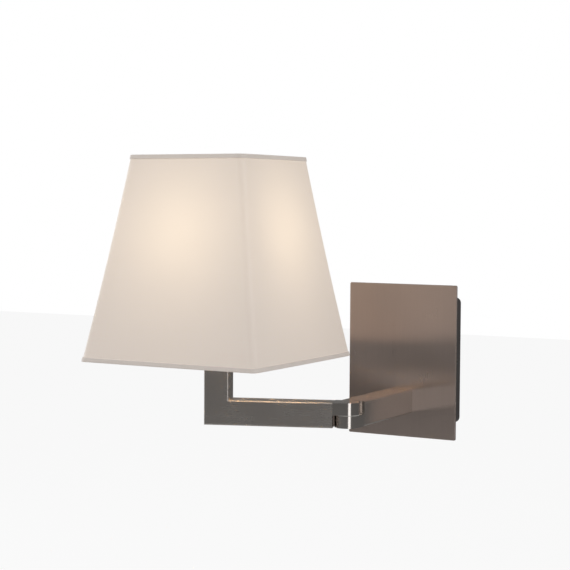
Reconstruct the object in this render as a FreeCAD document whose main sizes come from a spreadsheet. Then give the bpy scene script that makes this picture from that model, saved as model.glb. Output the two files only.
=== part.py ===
import FreeCAD, Part
import math
import os
import re

import Sketcher
from FreeCAD import Placement, Rotation, Vector

# Swing-arm wall lamp with a square tapered fabric shade.
# Origin: centre of the wall bracket's back face. +X right, +Z up, the wall lies at Y = 0
# and the lamp stands out towards -Y. Millimetres and degrees throughout.

os.makedirs("parts", exist_ok=True)
doc = FreeCAD.newDocument("swing_arm_wall_lamp")

SIZES = {
    # wall box and the decorative plate on its front
    "box_width": 106.0,
    "box_height": 135.0,
    "box_depth": 33.0,
    "box_wall": 1.2,
    "box_corner": 6.0,
    "plate_width": 125.0,
    "plate_height": 164.0,
    "plate_thick": 2.0,
    "plate_corner": 1.5,
    "plate_edge": 0.5,
    # steel bracket screwed to the wall
    "bracket_thick": 1.6,
    "bracket_height": 104.0,
    "bracket_gap": 0.3,
    "tab_height": 26.0,
    "tab_reach": 22.0,
    "slot_spacing": 70.0,
    "slot_length": 16.0,
    "slot_width": 5.0,
    "entry_radius": 9.0,
    "entry_rise": 14.0,
    "grommet_wall": 2.5,
    "grommet_lip": 1.6,
    "grommet_lip_width": 2.0,
    # side screws that hold the box on the bracket's tabs
    "side_screw_depth": 14.0,
    "side_screw_radius": 2.0,
    "side_head_radius": 3.6,
    "side_head_height": 2.0,
    "side_head_rim": 0.9,
    "side_head_flat": 2.2,
    "side_socket_radius": 1.5,
    "side_socket_depth": 1.4,
    "side_screw_length": 9.0,
    # weld studs and nuts that hold the plate on the box
    "stud_radius": 2.0,
    "stud_across": 72.0,
    "stud_up": 104.0,
    "stud_length": 10.0,
    "stud_nut_radius": 4.04,
    "stud_nut_height": 3.2,
    # wiring pieces in the box
    "block_width": 26.0,
    "block_height": 16.0,
    "block_depth": 13.0,
    "block_rise": -9.0,
    "block_pitch": 8.6,
    "block_bore": 1.7,
    "block_screw_height": 2.6,
    "block_screw_radius": 1.5,
    "earth_across": 26.0,
    "earth_rise": 20.0,
    "earth_radius": 2.0,
    "earth_head_radius": 4.2,
    "earth_head_height": 2.6,
    "earth_tail": 1.0,
    # square arm tubes
    "arm_size": 25.4,
    "arm_wall": 1.5,
    "arm_edge": 1.6,
    "arm_drop": 43.0,
    "rear_reach": 130.0,
    "front_reach": 131.0,
    "arm_yaw": 20.0,
    "plug_gap": 0.1,
    "plug_ease": 0.6,
    "wall_plug_depth": 14.0,
    # hollow nipple and nut that hold the rear arm on the plate
    "nipple_radius": 5.0,
    "nipple_bore": 3.4,
    "nipple_reach": 12.0,
    "nipple_tail": 2.0,
    "hole_gap": 0.1,
    "arm_nut_radius": 8.66,
    "arm_nut_height": 4.0,
    "arm_washer_radius": 10.0,
    "arm_washer_thick": 1.2,
    # elbow: two half-height barrels on one hollow pivot screw
    "knuckle_gap": 0.8,
    "split_gap": 0.6,
    "barrel_floor": 3.4,
    "barrel_cavity": 9.0,
    "knuckle_plug": 16.0,
    "washer_clearance": 0.6,
    "pivot_radius": 4.95,
    "pivot_bore": 3.2,
    "pivot_clearance": 0.05,
    "pivot_flange_radius": 7.6,
    "pivot_flange_thick": 1.4,
    "wave_thick": 0.8,
    "wave_radius": 8.0,
    "wave_clearance": 0.3,
    "pivot_nut_radius": 8.0,
    "pivot_tail": 0.6,
    "cap_thick": 1.3,
    "lead_bore": 2.2,
    "lead_cover": 0.9,
    "lead_clearance": 1.2,
    "stop_radius": 1.0,
    "stop_circle": 7.7,
    "stop_height": 1.5,
    "stop_depth": 2.0,
    "stop_gap": 0.2,
    "stop_travel": 90.0,
    # post on the end of the front arm, measured up from the arm's middle line
    "post_top": 65.0,
    "post_cap_depth": 6.0,
    "holder_nipple_down": 9.0,
    "holder_nipple_up": 9.0,
    # lampholder, measured up from the post's top
    "cup_radius": 19.0,
    "cup_wall": 2.2,
    "cup_height": 14.0,
    "cup_bevel": 3.0,
    "cup_floor": 5.0,
    "holder_radius": 19.0,
    "holder_wall": 3.6,
    "holder_height": 48.0,
    "holder_floor": 5.0,
    "holder_bore": 3.0,
    "shell_radius": 14.9,
    "shell_wall": 0.4,
    "shell_height": 34.0,
    "shell_drop": 10.0,
    "contact_radius": 4.5,
    "contact_height": 3.0,
    "ring_radius": 25.0,
    "ring_height": 4.0,
    "ring_rise": 38.0,
    "ring_bevel": 0.6,
    "thread_gap": 0.05,
    # bulb, measured up from its centre contact
    "bulb_radius": 30.0,
    "bulb_length": 112.0,
    "bulb_wall": 0.8,
    "bulb_neck": 14.2,
    "bulb_shoulder_angle": 38.0,
    "bulb_neck_sweep": 14.0,
    "bulb_cap_radius": 13.2,
    "bulb_cap_height": 26.0,
    "bulb_tip_radius": 4.5,
    "bulb_tip_height": 4.0,
    "bulb_tip_flare": 1.5,
    "stem_radius": 4.0,
    "stem_height": 34.0,
    "filament_radius": 0.9,
    "filament_length": 34.0,
    "filament_ring": 9.0,
    "filament_drop": 8.5,
    # shade, square in plan, its sides parallel to the wall
    "shade_bottom": 200.0,
    "shade_top": 130.0,
    "shade_height": 204.0,
    "shade_lift": 53.5,
    "shade_corner": 7.5,
    "shade_cloth": 1.0,
    "trim_height": 7.0,
    "trim_thick": 0.7,
    "wire_radius": 1.6,
    "wire_gap": 0.2,
    "wire_bend": 7.0,
    "spider_bore_gap": 0.3,
    "spider_ring_radius": 25.0,
    "spider_thick": 2.0,
    "spider_gap": 0.1,
    "spoke_bite": 1.0,
    # insulated leads, two cores side by side
    "lead_radius": 0.9,
    "lead_pitch": 2.2,
    "pivot_bend": 2.8,
    "tube_bend": 14.0,
    "post_bend": 7.0,
    "block_bend": 3.0,
    "lead_straight": 4.0,
    "lead_gather": 12.0,
    "lead_rise_start": 8.0,
    "lead_rise_end": 30.0,
    "lead_stub": 1.0,
}

sheet = doc.addObject("Spreadsheet::Sheet", "dims")
for row, (alias, size) in enumerate(SIZES.items(), start=1):
    sheet.set("A%d" % row, alias)
    sheet.set("B%d" % row, str(size))
    sheet.setAlias("B%d" % row, alias)
doc.recompute()

# Places worked out from the sizes above, as expressions on the sheet.
DERIVED = {
    "plate_front": "(box_depth + plate_thick)",
    "pivot_depth": "(box_depth + plate_thick + rear_reach)",
    "tube_end": "(arm_size/2 + knuckle_gap)",
    "plug_size": "(arm_size - 2*arm_wall - 2*plug_gap)",
    "plug_corner": "(arm_edge + plug_ease)",
    "barrel_top": "(-split_gap/2)",
    "cavity_top": "(-split_gap/2 - barrel_floor)",
    "lead_level": "(arm_size/2 - cap_thick - lead_cover - lead_radius)",
    "pivot_foot": "(lead_level - lead_radius - lead_clearance)",
    "pivot_nut_height": "(pivot_foot - pivot_tail - barrel_floor - split_gap/2)",
    "washer_bore": "(stop_circle + stop_radius + stop_gap + washer_clearance)",
    "wire_inset": "(shade_cloth + wire_gap + wire_radius)",
    "tab_face": "(box_width/2 - box_wall - bracket_gap)",
    "ring_place": "(post_top + ring_rise)",
}


def spelled(text):
    """Spell an expression out in terms of the sheet's cells."""
    def swap(word):
        name = word.group(0)
        if name in DERIVED:
            return spelled(DERIVED[name])
        return "dims." + name if name in SIZES else name
    return re.sub(r"[a-z_]+", swap, str(text))


def value(text):
    """Work an expression out from the sheet."""
    return float(sheet.evalExpression(spelled(text)))


SUBPARTS = []


def keep(piece, label, place=None):
    """Name a finished sub-part and set it in its place."""
    piece.Label = label
    if place is not None:
        piece.Placement = place
    SUBPARTS.append(piece)
    return piece


# ---------------------------------------------------------------- sketches and features


def new_body(name):
    return doc.addObject("PartDesign::Body", name + "_body")


def new_sketch(body, role, offset="0"):
    """A sketch on one of the body's own origin planes, moved along the plane's normal."""
    sketch = body.newObject("Sketcher::SketchObject", "profile")
    plane = next(item for item in body.Origin.OriginFeatures if item.Role == role)
    sketch.AttachmentSupport = [(plane, "")]
    sketch.MapMode = "FlatFace"
    sketch.setExpression("AttachmentOffset.Base.z", spelled(offset))
    return sketch


def fix_size(sketch, kind, members, size):
    """Add one dimension and bind it to its expression."""
    index = sketch.addConstraint(Sketcher.Constraint(kind, *members, value(size)))
    sketch.setExpression("Constraints[%d]" % index, spelled(size))


def fix_point(sketch, edge, end, across, up):
    fix_size(sketch, "DistanceX", (-1, 1, edge, end), across)
    fix_size(sketch, "DistanceY", (-1, 1, edge, end), up)


def polygon(body, role, corners, offset="0"):
    """A closed outline of straight lines through corners given as expressions."""
    sketch = new_sketch(body, role, offset)
    points = [Vector(value(across), value(up), 0) for across, up in corners]
    count = len(points)
    for index in range(count):
        sketch.addGeometry(Part.LineSegment(points[index], points[(index + 1) % count]))
    for index in range(count):
        sketch.addConstraint(Sketcher.Constraint("Coincident", index, 2, (index + 1) % count, 1))
    for index, (across, up) in enumerate(corners):
        fix_point(sketch, index, 1, across, up)
    return sketch


def rectangle(body, role, low, high, offset="0"):
    (left, bottom), (right, top) = low, high
    corners = [(left, bottom), (right, bottom), (right, top), (left, top)]
    return polygon(body, role, corners, offset)


def circles(body, role, discs, offset="0"):
    """Circles given as (across, up, radius) expressions in one sketch."""
    sketch = new_sketch(body, role, offset)
    for across, up, radius in discs:
        circle = Part.Circle(Vector(value(across), value(up), 0), Vector(0, 0, 1), value(radius))
        edge = sketch.addGeometry(circle)
        fix_size(sketch, "Radius", (edge,), radius)
        fix_point(sketch, edge, 3, across, up)
    return sketch


def rounded(body, role, width, height, radius, offset="0"):
    """A centred rectangle with round corners."""
    sketch = new_sketch(body, role, offset)
    wide, tall, bend = value(width) / 2, value(height) / 2, value(radius)
    turns = [(1, 1, 0), (-1, 1, 90), (-1, -1, 180), (1, -1, 270)]
    for side, rise, start in turns:
        centre = Vector(side * (wide - bend), rise * (tall - bend), 0)
        ring = Part.Circle(centre, Vector(0, 0, 1), bend)
        sketch.addGeometry(Part.ArcOfCircle(ring, math.radians(start), math.radians(start + 90)))
    for index in range(4):
        nearby = (index + 1) % 4
        begin = sketch.Geometry[index].EndPoint
        finish = sketch.Geometry[nearby].StartPoint
        edge = sketch.addGeometry(Part.LineSegment(begin, finish))
        sketch.addConstraint(Sketcher.Constraint("Tangent", index, 2, edge, 1))
        sketch.addConstraint(Sketcher.Constraint("Tangent", edge, 2, nearby, 1))
    for index, (side, rise, start) in enumerate(turns):
        across = "%d*((%s)/2 - (%s))" % (side, width, radius)
        up = "%d*((%s)/2 - (%s))" % (rise, height, radius)
        fix_point(sketch, index, 3, across, up)
    fix_size(sketch, "Radius", (0,), radius)
    return sketch


def pad(body, sketch, length, backwards=False, both=False):
    feature = body.newObject("PartDesign::Pad", "pad")
    feature.Profile = sketch
    feature.Reversed = backwards
    feature.SideType = "Symmetric" if both else "One side"
    feature.setExpression("Length", spelled(length))
    doc.recompute()
    return feature


def pocket(body, sketch, length, backwards=False, both=False):
    """Cut a sketch into the body, and refuse a cut that removes nothing."""
    before = body.Shape.Volume
    feature = body.newObject("PartDesign::Pocket", "pocket")
    feature.Profile = sketch
    feature.Reversed = backwards
    feature.SideType = "Symmetric" if both else "One side"
    feature.setExpression("Length", spelled(length))
    doc.recompute()
    if body.Shape.Volume > before - 1e-3:
        raise RuntimeError("pocket in %s cuts nothing" % body.Name)
    return feature


def turned(body, sketch, cut=False, angle=None):
    """Turn a sketch about its vertical axis, to add or to cut."""
    before = body.Shape.Volume if cut else 0.0
    feature = body.newObject("PartDesign::Groove" if cut else "PartDesign::Revolution", "turned")
    feature.Profile = sketch
    feature.ReferenceAxis = (sketch, ["V_Axis"])
    if angle is None:
        feature.Angle = 360
    else:
        feature.Midplane = True
        feature.setExpression("Angle", spelled(angle))
    doc.recompute()
    if cut and body.Shape.Volume > before - 1e-3:
        raise RuntimeError("groove in %s cuts nothing" % body.Name)
    return feature


def turned_body(name, corners):
    """A body turned from one outline of (radius, height) corners."""
    body = new_body(name)
    turned(body, polygon(body, "XZ_Plane", corners))
    return body


def round_edges(body, radius, chosen):
    """Round the edges of the body's tip that the test picks."""
    tip = body.Tip
    names = ["Edge%d" % (index + 1) for index, edge in enumerate(tip.Shape.Edges) if chosen(edge)]
    feature = body.newObject("PartDesign::Fillet", "rounding")
    feature.Base = (tip, names)
    feature.setExpression("Radius", spelled(radius))
    doc.recompute()
    return feature


# ---------------------------------------------------------------- primitives

ALONG_OUT = Rotation(Vector(1, 0, 0), 90)      # turns +Z to -Y, out from the wall
ALONG_RIGHT = Rotation(Vector(0, 1, 0), 90)    # turns +Z to +X
UPRIGHT = Rotation()


def put(piece, spot, turn=UPRIGHT):
    """Bind a primitive's place to expressions for its x, y and z."""
    piece.Placement = Placement(Vector(*[value(part) for part in spot]), turn)
    for axis, part in zip("xyz", spot):
        piece.setExpression("Placement.Base." + axis, spelled(part))
    return piece


def block(size, spot):
    piece = doc.addObject("Part::Box", "block")
    for side, length in zip(("Length", "Width", "Height"), size):
        piece.setExpression(side, spelled(length))
    return put(piece, spot)


def rod(radius, length, spot, turn=UPRIGHT):
    piece = doc.addObject("Part::Cylinder", "rod")
    piece.setExpression("Radius", spelled(radius))
    piece.setExpression("Height", spelled(length))
    return put(piece, spot, turn)


def hexagon(radius, height, spot, turn=UPRIGHT):
    piece = doc.addObject("Part::Prism", "hexagon")
    piece.Polygon = 6
    piece.setExpression("Circumradius", spelled(radius))
    piece.setExpression("Height", spelled(height))
    return put(piece, spot, turn)


def joined(pieces):
    result = doc.addObject("Part::MultiFuse", "joined")
    result.Shapes = pieces
    return result


def cut(base, *tools):
    result = doc.addObject("Part::Cut", "cut")
    result.Base = base
    result.Tool = tools[0] if len(tools) == 1 else joined(list(tools))
    return result


def group(pieces):
    """Separate solids that share one sub-part."""
    result = doc.addObject("Part::Compound", "group")
    result.Links = pieces
    return result


def coded(shape):
    """A sub-part whose shape is worked out in code."""
    result = doc.addObject("Part::Feature", "coded")
    result.Shape = shape
    return result


# ---------------------------------------------------------------- places of the assemblies

REAR_PLACE = Placement(Vector(0, -value("pivot_depth"), -value("arm_drop")), Rotation())
ARM_TURN = Rotation(Vector(0, 0, 1), 90 + value("arm_yaw"))
FRONT_PLACE = Placement(REAR_PLACE.Base, ARM_TURN)
FLIP = Rotation(Vector(0, 1, 0), 180)
POST_BASE = FRONT_PLACE.multVec(Vector(0, value("front_reach"), 0))
POST_PLACE = Placement(POST_BASE, ARM_TURN)
SHADE_PLACE = Placement(POST_BASE, Rotation())
ARM_LEVEL = "-arm_drop"


# ---------------------------------------------------------------- wall bracket and box


def wall_bracket():
    """Flat steel bracket with two bent side tabs, two wall slots and a cable hole."""
    width = "2*tab_face"
    plate = block((width, "bracket_thick", "bracket_height"),
                  ("-tab_face", "-bracket_thick", "-bracket_height/2"))
    solids = [plate]
    tools = []
    for side in (-1, 1):
        left = "tab_face - bracket_thick" if side > 0 else "-tab_face"
        solids.append(block(("bracket_thick", "tab_reach", "tab_height"),
                            (left, "-tab_reach", "-tab_height/2")))
        tools.append(rod("side_screw_radius", "3*bracket_thick",
                         (left + " - bracket_thick", "-side_screw_depth", "0"), ALONG_RIGHT))
        level = "%d*slot_spacing/2" % side
        reach = "(slot_length - slot_width)"
        tools.append(block(("slot_width", "3*bracket_thick", reach),
                           ("-slot_width/2", "-2*bracket_thick", "%s - %s/2" % (level, reach))))
        for end in (-1, 1):
            tools.append(rod("slot_width/2", "3*bracket_thick",
                             ("0", "bracket_thick", "%s + %d*%s/2" % (level, end, reach)), ALONG_OUT))
    tools.append(rod("entry_radius", "3*bracket_thick",
                     ("0", "bracket_thick", "entry_rise"), ALONG_OUT))
    tools.append(rod("earth_radius", "3*bracket_thick",
                     ("earth_across", "bracket_thick", "earth_rise"), ALONG_OUT))
    keep(cut(joined(solids), *tools), "wall_bracket")


def cable_grommet():
    """Rubber grommet that snaps into the bracket's cable hole."""
    body = new_body("grommet")
    inner, outer = "(entry_radius - grommet_wall)", "entry_radius"
    lip, face = "(entry_radius + grommet_lip_width)", "(bracket_thick + grommet_lip)"
    turned(body, polygon(body, "XZ_Plane", [
        (inner, "0"), (outer, "0"), (outer, "bracket_thick"), (lip, "bracket_thick"),
        (lip, face), (inner, face)]))
    keep(body, "cable_grommet", Placement(Vector(0, 0, value("entry_rise")), ALONG_OUT))


def wall_box():
    """Pressed steel box, open towards the wall, that carries the plate and the arm."""
    body = new_body("wall_box")
    pad(body, rounded(body, "XZ_Plane", "box_width", "box_height", "box_corner"), "box_depth")
    round_edges(body, "box_wall", lambda edge: abs(edge.BoundBox.YMin + value("box_depth")) < 1e-6
                and abs(edge.BoundBox.YMax + value("box_depth")) < 1e-6)
    inside = ["box_width - 2*box_wall", "box_height - 2*box_wall", "box_corner - box_wall"]
    pocket(body, rounded(body, "XZ_Plane", *inside), "box_depth - box_wall", backwards=True)
    holes = [("0", ARM_LEVEL, "nipple_radius + hole_gap")]
    for side in (-1, 1):
        for rise in (-1, 1):
            holes.append(("%d*stud_across/2" % side, "%d*stud_up/2" % rise, "stud_radius + hole_gap"))
    pocket(body, circles(body, "XZ_Plane", holes), "2*box_depth", backwards=True)
    side_hole = circles(body, "YZ_Plane", [("-side_screw_depth", "0", "side_screw_radius + hole_gap")])
    pocket(body, side_hole, "2*box_width", both=True)
    keep(body, "wall_box")


def front_plate():
    """Flat decorative plate with a small rounded front edge."""
    body = new_body("front_plate")
    outline = rounded(body, "XZ_Plane", "plate_width", "plate_height", "plate_corner", "box_depth")
    pad(body, outline, "plate_thick")
    front = value("plate_front")
    round_edges(body, "plate_edge", lambda edge: abs(edge.BoundBox.YMin + front) < 1e-6
                and abs(edge.BoundBox.YMax + front) < 1e-6)
    hole = circles(body, "XZ_Plane", [("0", ARM_LEVEL, "nipple_radius + hole_gap")])
    pocket(body, hole, "2*box_depth + plate_thick", backwards=True)
    keep(body, "front_plate")


def plate_fixings():
    """Weld studs on the plate's back, and their nuts inside the box."""
    studs, nuts = [], []
    for side in (-1, 1):
        for rise in (-1, 1):
            across, up = "%d*stud_across/2" % side, "%d*stud_up/2" % rise
            studs.append(rod("stud_radius", "stud_length",
                             (across, "-(box_depth - stud_length)", up), ALONG_OUT))
            spot = (across, "-(box_depth - box_wall - stud_nut_height)", up)
            nuts.append(cut(hexagon("stud_nut_radius", "stud_nut_height", spot, ALONG_OUT),
                            rod("stud_radius", "stud_nut_height", spot, ALONG_OUT)))
    keep(group(studs), "plate_studs")
    keep(group(nuts), "plate_nuts")


def side_screws():
    """Two button-head screws through the box's sides into the bracket's tabs."""
    pieces = []
    for side in (-1, 1):
        body = new_body("side_screw")
        head, shank = "side_head_radius", "side_screw_radius"
        crown = "side_head_height"
        turned(body, polygon(body, "XZ_Plane", [
            ("0", "-side_screw_length"), (shank, "-side_screw_length"), (shank, "0"), (head, "0"),
            (head, "side_head_rim"), ("side_head_flat", crown), ("0", crown)]))
        socket = circles(body, "XY_Plane", [("0", "0", "side_socket_radius")], crown)
        pocket(body, socket, "side_socket_depth")
        spot = Vector(side * value("box_width") / 2, -value("side_screw_depth"), 0)
        body.Placement = Placement(spot, Rotation(Vector(0, 1, 0), 90 * side))
        pieces.append(body)
    keep(group(pieces), "side_screws")


def wiring():
    """Terminal block, its screws, and the earth screw, all on the wall bracket."""
    place = ("-block_width/2", "-(bracket_thick + block_depth)",
             "block_rise - block_height/2")
    bores, screws = [], []
    for row in (-1, 0, 1):
        across = "%d*block_pitch" % row
        bores.append(rod("block_bore", "block_height + 2",
                         (across, "-(bracket_thick + block_depth/2)", "block_rise - block_height/2 - 1")))
        for rise in (-1, 1):
            spot = (across, "-(bracket_thick + block_depth*0.75)", "block_rise + %d*block_height/4" % rise)
            bores.append(rod("block_screw_radius", "block_depth", spot, ALONG_OUT))
            screws.append(rod("block_screw_radius", "block_screw_height", spot, ALONG_OUT))
    keep(cut(block(("block_width", "block_depth", "block_height"), place), *bores), "terminal_block")
    keep(group(screws), "terminal_screws")
    spot = ("earth_across", "0", "earth_rise")
    head = ("earth_across", "-bracket_thick", "earth_rise")
    keep(joined([rod("earth_radius", "bracket_thick + earth_tail", spot, ALONG_OUT),
                 rod("earth_head_radius", "earth_head_height", head, ALONG_OUT)]), "earth_screw")


# ---------------------------------------------------------------- rear arm and elbow


def arm_fixing():
    """Hollow nipple, lock washer and nut that clamp the rear arm on the plate."""
    inner = "(box_depth - box_wall - arm_washer_thick - arm_nut_height)"
    start = ("0", "-(%s - nipple_tail)" % inner, ARM_LEVEL)
    length = "nipple_reach + plate_thick + box_depth - (%s - nipple_tail)" % inner
    keep(cut(rod("nipple_radius", length, start, ALONG_OUT),
             rod("nipple_bore", length, start, ALONG_OUT)), "arm_nipple")
    washer = ("0", "-(box_depth - box_wall - arm_washer_thick)", ARM_LEVEL)
    keep(cut(rod("arm_washer_radius", "arm_washer_thick", washer, ALONG_OUT),
             rod("nipple_radius", "arm_washer_thick", washer, ALONG_OUT)), "arm_washer")
    nut = ("0", "-%s" % inner, ARM_LEVEL)
    keep(cut(hexagon("arm_nut_radius", "arm_nut_height", nut, ALONG_OUT),
             rod("nipple_radius", "arm_nut_height", nut, ALONG_OUT)), "arm_nut")
    body = new_body("wall_plug")
    pad(body, rounded(body, "XZ_Plane", "plug_size", "plug_size", "plug_corner", "plate_front"),
        "wall_plug_depth")
    pocket(body, circles(body, "XZ_Plane", [("0", "0", "nipple_radius")]),
           "plate_front + 2*wall_plug_depth", backwards=True)
    keep(body, "rear_arm_plug", Placement(Vector(0, 0, -value("arm_drop")), Rotation()))


def rear_arm():
    """Square tube from the plate to the elbow."""
    body = new_body("rear_arm")
    length = "rear_reach - tube_end"
    pad(body, rounded(body, "XZ_Plane", "arm_size", "arm_size", "arm_edge", "plate_front"), length)
    bore = "arm_size - 2*arm_wall"
    inside = rounded(body, "XZ_Plane", bore, bore, "arm_edge", "plate_front")
    pocket(body, inside, length, backwards=True)
    keep(body, "rear_arm", Placement(Vector(0, 0, -value("arm_drop")), Rotation()))


def knuckle(name):
    """Half-height barrel with a neck and a plug that fits its arm's tube.

    Made in the frame of the lower half: barrel below the middle plane, arm towards +Y.
    """
    body = new_body(name)
    sketch = new_sketch(body, "XY_Plane", "-arm_size/2")
    radius, reach = value("arm_size") / 2, value("tube_end")
    ring = Part.Circle(Vector(), Vector(0, 0, 1), radius)
    sketch.addGeometry(Part.ArcOfCircle(ring, math.pi, 2 * math.pi))
    corners = [Vector(radius, 0, 0), Vector(radius, reach, 0),
               Vector(-radius, reach, 0), Vector(-radius, 0, 0)]
    for begin, finish in zip(corners, corners[1:]):
        sketch.addGeometry(Part.LineSegment(begin, finish))
    for one, two in ((0, 1), (1, 2), (2, 3), (3, 0)):
        sketch.addConstraint(Sketcher.Constraint("Coincident", one, 2, two, 1))
    fix_point(sketch, 0, 3, "0", "0")
    fix_size(sketch, "Radius", (0,), "arm_size/2")
    fix_size(sketch, "DistanceY", (-1, 1, 1, 1), "0")
    fix_size(sketch, "DistanceY", (-1, 1, 3, 2), "0")
    fix_point(sketch, 2, 1, "arm_size/2", "tube_end")
    fix_point(sketch, 3, 1, "-arm_size/2", "tube_end")
    pad(body, sketch, "arm_size/2 - split_gap/2")
    plug = rounded(body, "XZ_Plane", "plug_size", "plug_size", "plug_corner", "-tube_end")
    pad(body, plug, "knuckle_plug", backwards=True)
    pocket(body, circles(body, "XY_Plane", [("0", "0", "barrel_cavity")], "-arm_size/2"),
           "arm_size/2 - split_gap/2 - barrel_floor", backwards=True)
    pocket(body, circles(body, "XY_Plane", [("0", "0", "pivot_radius + pivot_clearance")], "-arm_size/2"),
           "arm_size/2", backwards=True)
    pocket(body, circles(body, "XZ_Plane", [("0", "-lead_level", "lead_bore")]),
           "tube_end + 2*knuckle_plug")
    return body


def elbow():
    """Both knuckles, the hollow pivot screw, its washers and nut, the stop and the caps."""
    lower = knuckle("rear_knuckle")
    pocket(lower, circles(lower, "XY_Plane", [("0", "stop_circle", "stop_radius")], "-split_gap/2"),
           "stop_depth")
    keep(lower, "rear_knuckle", REAR_PLACE)
    upper = knuckle("front_knuckle")
    inner = "stop_circle - stop_radius - stop_gap"
    outer = "stop_circle + stop_radius + stop_gap"
    depth = "-split_gap/2 - stop_height"
    slot = rectangle(upper, "YZ_Plane", ("-(%s)" % outer, depth), ("-(%s)" % inner, "0"))
    turned(upper, slot, cut=True,
           angle="2*stop_travel + 2*(stop_radius + stop_gap)/stop_circle*180/pi")
    keep(upper, "front_knuckle", Placement(FRONT_PLACE.Base, ARM_TURN.multiply(FLIP)))
    pin = rod("stop_radius", "stop_depth + split_gap/2 + stop_height/2",
              ("0", "stop_circle - pivot_depth", "-arm_drop - split_gap/2 - stop_depth"))
    keep(pin, "stop_pin")
    rim = "arm_size/2"
    ring = turned_body("friction_washer", [
        ("washer_bore", "-split_gap/2"), (rim, "-split_gap/2"),
        (rim, "split_gap/2"), ("washer_bore", "split_gap/2")])
    keep(ring, "friction_washer", REAR_PLACE)
    seat, eye = "(split_gap/2 + barrel_floor)", "pivot_radius + wave_clearance"
    wave = turned_body("wave_washer", [
        (eye, seat), ("wave_radius", seat), ("wave_radius", seat + " + wave_thick"),
        (eye, seat + " + wave_thick")])
    keep(wave, "wave_washer", REAR_PLACE)
    under, over = seat + " + wave_thick", seat + " + wave_thick + pivot_flange_thick"
    foot = "-pivot_foot"
    screw = turned_body("pivot_screw", [
        ("pivot_bore", foot), ("pivot_radius", foot), ("pivot_radius", under),
        ("pivot_flange_radius", under), ("pivot_flange_radius", over), ("pivot_bore", over)])
    keep(screw, "pivot_screw", REAR_PLACE)
    spot = ("0", "-pivot_depth", "-arm_drop - %s - pivot_nut_height" % seat)
    keep(cut(hexagon("pivot_nut_radius", "pivot_nut_height", spot),
             rod("pivot_radius", "pivot_nut_height", spot)), "pivot_nut")
    level = "arm_size/2 - cap_thick"
    for label, spin in (("lower_knuckle_cap", FLIP), ("upper_knuckle_cap", Rotation())):
        cap = turned_body(label, [("0", level), ("barrel_cavity", level),
                                  ("barrel_cavity", "arm_size/2"), ("0", "arm_size/2")])
        keep(cap, label, Placement(REAR_PLACE.Base, spin))


# ---------------------------------------------------------------- front arm and lampholder


def front_arm():
    """L-shaped square tube: level arm with a mitred post at its end."""
    body = new_body("front_arm")
    half = "arm_size/2"
    far, near = "front_reach + arm_size/2", "front_reach - arm_size/2"
    outline = [("tube_end", "-" + half), (far, "-" + half), (far, "post_top"),
               (near, "post_top"), (near, half), ("tube_end", half)]
    pad(body, polygon(body, "YZ_Plane", outline), "arm_size", both=True)
    side, end, top = value(half), value("tube_end"), value("post_top")

    def lengthwise(edge):
        box = edge.BoundBox
        on_side = box.XLength < 1e-6 and abs(abs(box.XMin) - side) < 1e-6
        return on_side and box.YMax > end + 1e-6 and box.ZMin < top - 1e-6

    round_edges(body, "arm_edge", lengthwise)
    near_in, far_in = near + " + arm_wall", far + " - arm_wall"
    low_in, high_in = "-" + half + " + arm_wall", half + " - arm_wall"
    inside = [("tube_end", low_in), (far_in, low_in), (far_in, "post_top"),
              (near_in, "post_top"), (near_in, high_in), ("tube_end", high_in)]
    pocket(body, polygon(body, "YZ_Plane", inside), "arm_size - 2*arm_wall", both=True)
    keep(body, "front_arm", FRONT_PLACE)


def post_end():
    """Threaded cap in the post's top and the hollow nipple that carries the lampholder."""
    body = new_body("post_cap")
    pad(body, rounded(body, "XY_Plane", "plug_size", "plug_size", "plug_corner",
                      "post_top - post_cap_depth"), "post_cap_depth")
    pocket(body, circles(body, "XY_Plane", [("0", "0", "nipple_radius")], "post_top"),
           "2*post_cap_depth")
    keep(body, "post_cap", POST_PLACE)
    low, high = "post_top - holder_nipple_down", "post_top + holder_nipple_up"
    nipple = turned_body("holder_nipple", [("nipple_bore", low), ("nipple_radius", low),
                                           ("nipple_radius", high), ("nipple_bore", high)])
    keep(nipple, "holder_nipple", POST_PLACE)


def lampholder():
    """Base cup, threaded body, screw shell, centre contact and the two shade rings."""
    cup_top = "post_top + cup_height"
    cup = turned_body("holder_base", [
        ("nipple_radius", "post_top"), ("cup_radius - cup_bevel", "post_top"),
        ("cup_radius", "post_top + cup_bevel"),
        ("cup_radius", cup_top), ("cup_radius - cup_wall", cup_top),
        ("cup_radius - cup_wall", "post_top + cup_floor"),
        ("nipple_radius", "post_top + cup_floor")])
    keep(cup, "holder_base", POST_PLACE)
    body_top, floor = cup_top + " + holder_height", cup_top + " + holder_floor"
    inner = "holder_radius - holder_wall"
    shell = turned_body("holder_body", [
        ("holder_bore", cup_top), ("holder_radius", cup_top), ("holder_radius", body_top),
        (inner, body_top), (inner, floor), ("holder_bore", floor)])
    keep(shell, "holder_body", POST_PLACE)
    contact = turned_body("holder_contact", [("0", floor), ("contact_radius", floor),
                                             ("contact_radius", floor + " + contact_height"),
                                             ("0", floor + " + contact_height")])
    keep(contact, "centre_contact", POST_PLACE)
    low = body_top + " - shell_height"
    thread = turned_body("screw_shell", [
        ("shell_radius - shell_wall", low), ("shell_radius", low),
        ("shell_radius", body_top + " - shell_drop"),
        ("shell_radius - shell_wall", body_top + " - shell_drop")])
    keep(thread, "screw_shell", POST_PLACE)
    bore = "holder_radius + thread_gap"
    upper = "ring_place + ring_height + spider_thick + spider_gap"
    for label, start in (("lower_shade_ring", "ring_place"), ("upper_shade_ring", upper)):
        top = start + " + ring_height"
        ring = turned_body(label, [
            (bore, start), ("ring_radius - ring_bevel", start),
            ("ring_radius", start + " + ring_bevel"), ("ring_radius", top + " - ring_bevel"),
            ("ring_radius - ring_bevel", top), (bore, top)])
        keep(ring, label, POST_PLACE)


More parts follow.
